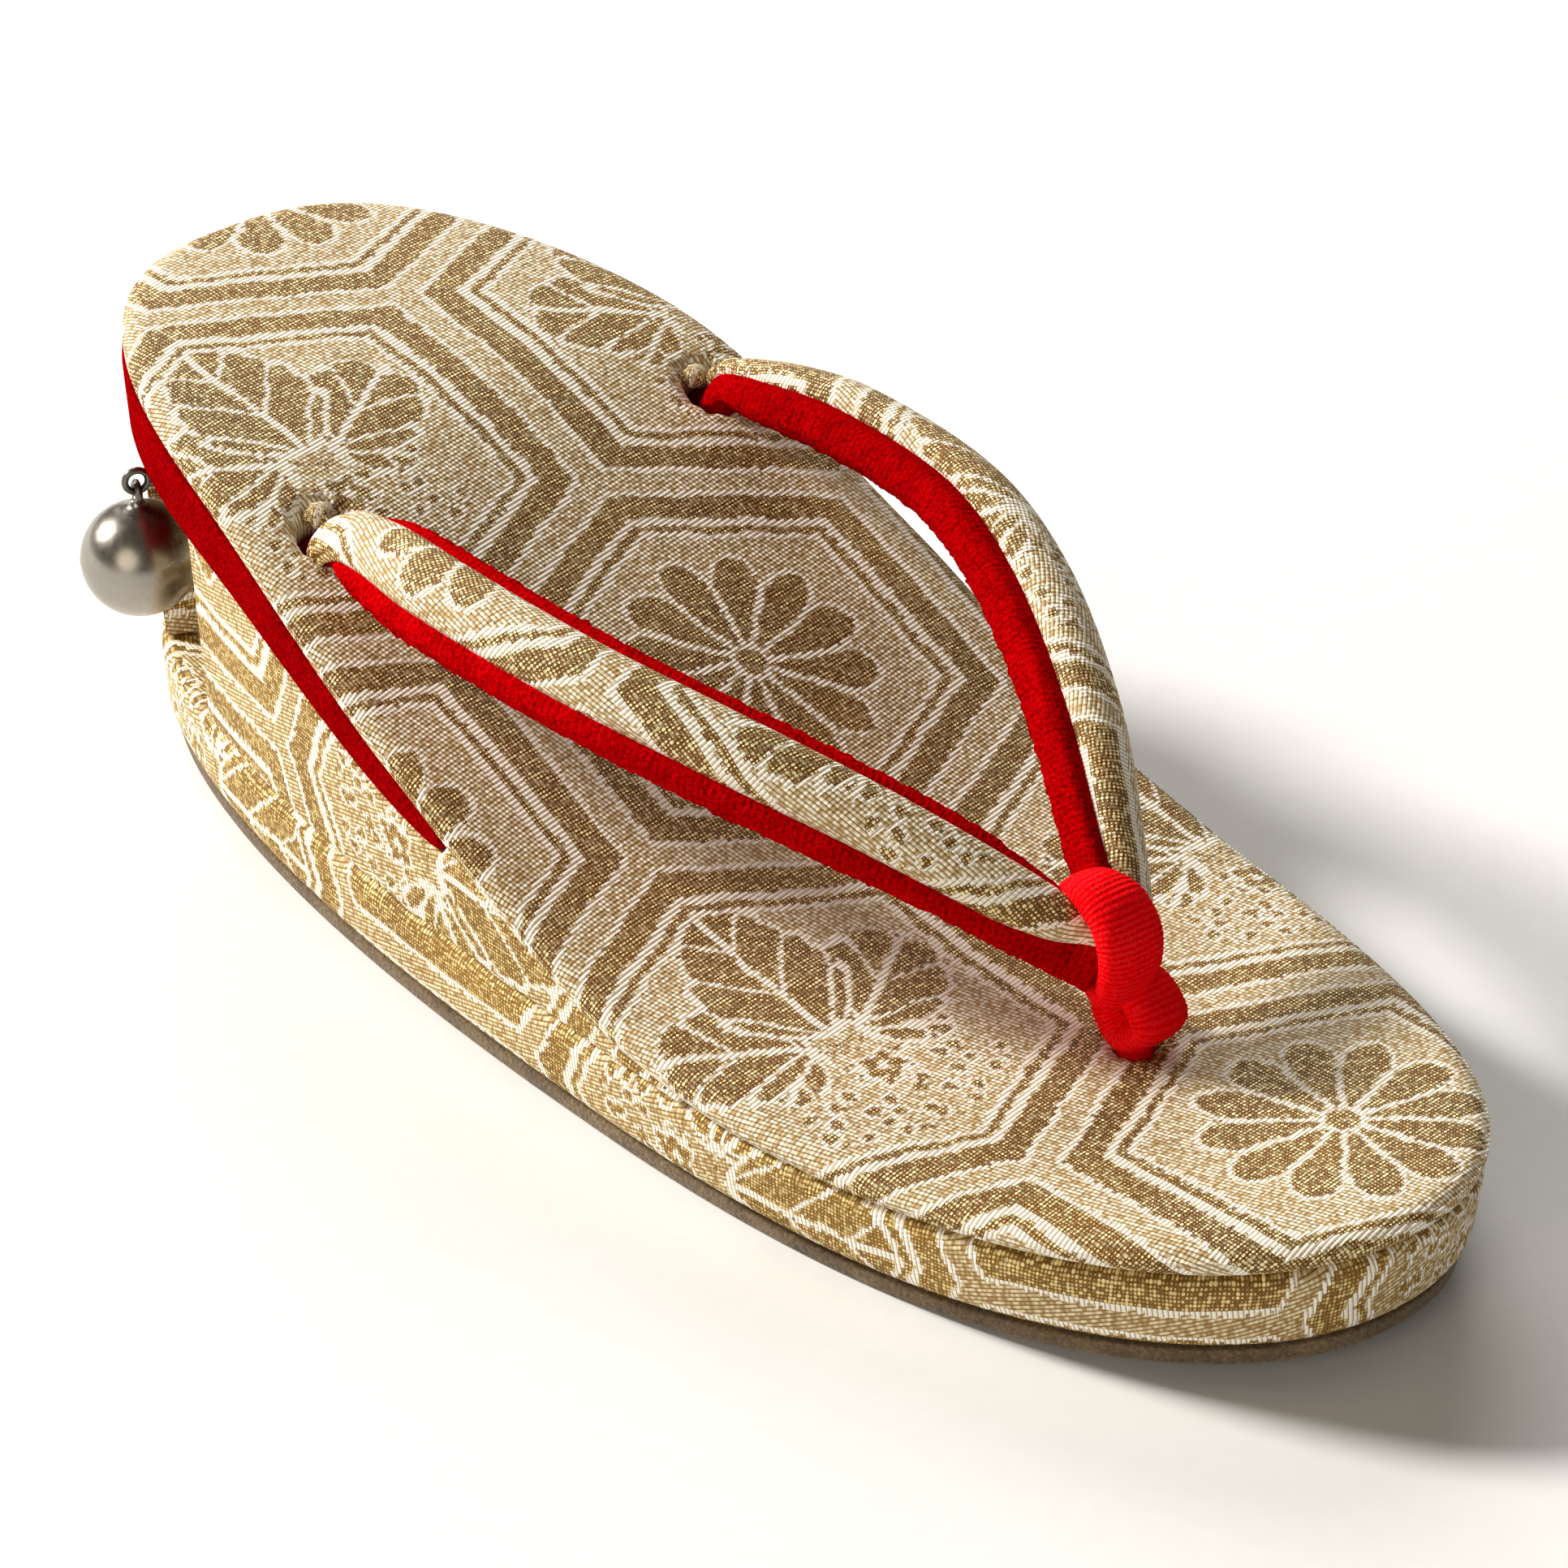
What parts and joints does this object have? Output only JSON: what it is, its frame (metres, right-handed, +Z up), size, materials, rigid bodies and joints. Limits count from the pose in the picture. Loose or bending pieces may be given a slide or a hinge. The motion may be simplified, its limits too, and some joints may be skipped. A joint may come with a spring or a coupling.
{
  "type": "zori sandal",
  "caption": "Brocade-wrapped wedge zori sandal with padded thong straps, red velvet trim, a cord tie between the toes and a small bell hanging in a notch at the heel.",
  "frame": {"origin": "on the floor, at the middle of the sandal's length and width", "axes": "+X to the toe, +Y to the wearer's left, +Z up"},
  "size_m": [0.215, 0.0866, 0.0582],
  "materials": {
    "brocade": "gold and beige woven brocade",
    "velvet": "red ribbed velvet",
    "suede": "grey-brown suede, nap side out",
    "steel": "satin",
    "dark_steel": "dulled wire"
  },
  "bodies": {
    "sandal": {"outsole": "suede", "base_layer": "brocade", "heel_wedge": "brocade", "red_layer": "velvet", "footbed": "brocade", "hanao_strap": "brocade", "front_tie": "velvet", "bell_hook": "dark_steel"},
    "bell": {"bell": "steel"}
  },
  "joints": [
    {"name": "bell_swing", "type": "hinge", "parent": "sandal", "child": "bell", "pos_m": [-0.08407, -0.0325, 0.04155], "axis": [-0.9318, 0.363, 0], "range_deg": [-33, 80]}
  ]
}
